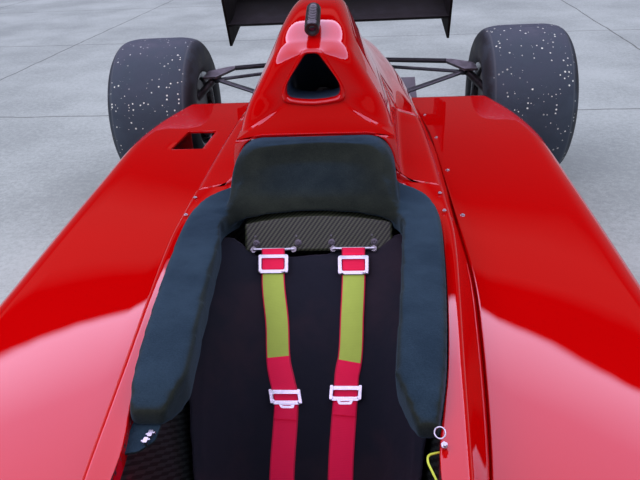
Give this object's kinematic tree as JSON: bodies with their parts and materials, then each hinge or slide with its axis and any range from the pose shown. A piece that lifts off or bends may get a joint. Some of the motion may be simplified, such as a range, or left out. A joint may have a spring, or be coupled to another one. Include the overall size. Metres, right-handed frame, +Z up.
{
  "type": "open wheel racing car",
  "caption": "Single-seat open wheel racing car with wide slick tyres, long sidepods, padded cockpit, airbox and front and rear wings.",
  "frame": {"origin": "on the ground, in the middle of the car's overall length and width", "axes": "+X to the car's left, +Y to its rear, +Z up"},
  "size_m": [1.985, 4.48, 0.9679],
  "materials": {
    "red_paint": "gloss",
    "black_carbon": "satin",
    "suede": "matt",
    "seat_cloth": "matt",
    "belt_web": "matt",
    "bright_steel": "satin",
    "slick_rubber": "matt",
    "wheel_metal": "satin",
    "cast_metal": "cast",
    "dark_metal": "satin",
    "disc_iron": "machined",
    "plank_wood": "worn",
    "clear_screen": "gloss",
    "red_lens": "gloss",
    "radiator_core": "finned"
  },
  "bodies": {
    "chassis": {"tub": "red_paint", "nose": "red_paint", "front_wing": "red_paint", "front_endplates": "red_paint", "sidepod_left": "red_paint", "sidepod_right": "red_paint", "airbox_cover": "red_paint", "engine_cover": "red_paint", "radiators": "radiator_core", "floor": "black_carbon", "diffuser": "black_carbon", "plank": "plank_wood", "engine": "cast_metal", "gearbox": "cast_metal", "rear_light": "red_lens", "exhausts": "dark_metal", "headrest": "suede", "seat": "seat_cloth", "shoulder_panel": "black_carbon", "belts": "belt_web", "belt_hardware": "bright_steel", "mirrors": "red_paint", "windscreen": "clear_screen", "airbox_camera": "dark_metal", "rear_wing": "black_carbon", "rear_endplates": "black_carbon", "bargeboards": "black_carbon", "front_wishbones": "dark_metal", "front_pushrods": "dark_metal", "rear_wishbones": "dark_metal", "rear_links": "dark_metal", "rear_uprights": "dark_metal"},
    "steering_wheel": {"steering_wheel": "black_carbon"},
    "steering_rack": {"steering_rack": "dark_metal"},
    "steer_left": {"front_upright_left": "dark_metal"},
    "front_wheel_left": {"front_tyre_left": "slick_rubber", "front_rim_left": "wheel_metal", "front_hub_left": "disc_iron"},
    "rear_wheel_left": {"rear_tyre_left": "slick_rubber", "rear_rim_left": "wheel_metal", "rear_hub_left": "disc_iron"},
    "steer_right": {"front_upright_right": "dark_metal"},
    "front_wheel_right": {"front_tyre_right": "slick_rubber", "front_rim_right": "wheel_metal", "front_hub_right": "disc_iron"},
    "rear_wheel_right": {"rear_tyre_right": "slick_rubber", "rear_rim_right": "wheel_metal", "rear_hub_right": "disc_iron"}
  },
  "joints": [
    {"name": "steering_wheel_turn", "type": "hinge", "parent": "chassis", "child": "steering_wheel", "pos_m": [0, -0.68, 0.59], "axis": [0, 0.9547, 0.2975], "range_deg": [-150, 150]},
    {"name": "steer_left_turn", "type": "hinge", "parent": "chassis", "child": "steer_left", "pos_m": [0.708, -1.193, 0.325], "axis": [-0.0614, 0.1024, 0.9929], "range_deg": [-15.5, 15.5]},
    {"name": "steer_right_turn", "type": "hinge", "parent": "chassis", "child": "steer_right", "pos_m": [-0.708, -1.193, 0.325], "axis": [0.0614, 0.1024, 0.9929], "range_deg": [-15.5, 15.5]},
    {"name": "rack_slide", "type": "slide", "parent": "chassis", "child": "steering_rack", "axis": [1, 0, 0], "range_m": [-0.0275, 0.0275]},
    {"name": "front_wheel_left_spin", "type": "hinge", "parent": "steer_left", "child": "front_wheel_left", "pos_m": [0.845, -1.19, 0.325], "axis": [1, 0, 0], "continuous": true},
    {"name": "rear_wheel_left_spin", "type": "hinge", "parent": "chassis", "child": "rear_wheel_left", "pos_m": [0.8025, 1.74, 0.331], "axis": [1, 0, 0], "continuous": true},
    {"name": "front_wheel_right_spin", "type": "hinge", "parent": "steer_right", "child": "front_wheel_right", "pos_m": [-0.845, -1.19, 0.325], "axis": [1, 0, 0], "continuous": true},
    {"name": "rear_wheel_right_spin", "type": "hinge", "parent": "chassis", "child": "rear_wheel_right", "pos_m": [-0.8025, 1.74, 0.331], "axis": [1, 0, 0], "continuous": true}
  ],
  "couplings": [
    {"joint": "steer_left_turn", "follows": "steering_wheel_turn", "ratio": 0.1},
    {"joint": "steer_right_turn", "follows": "steering_wheel_turn", "ratio": 0.1},
    {"joint": "rack_slide", "follows": "steering_wheel_turn", "m_per_rad": 0.01}
  ]
}
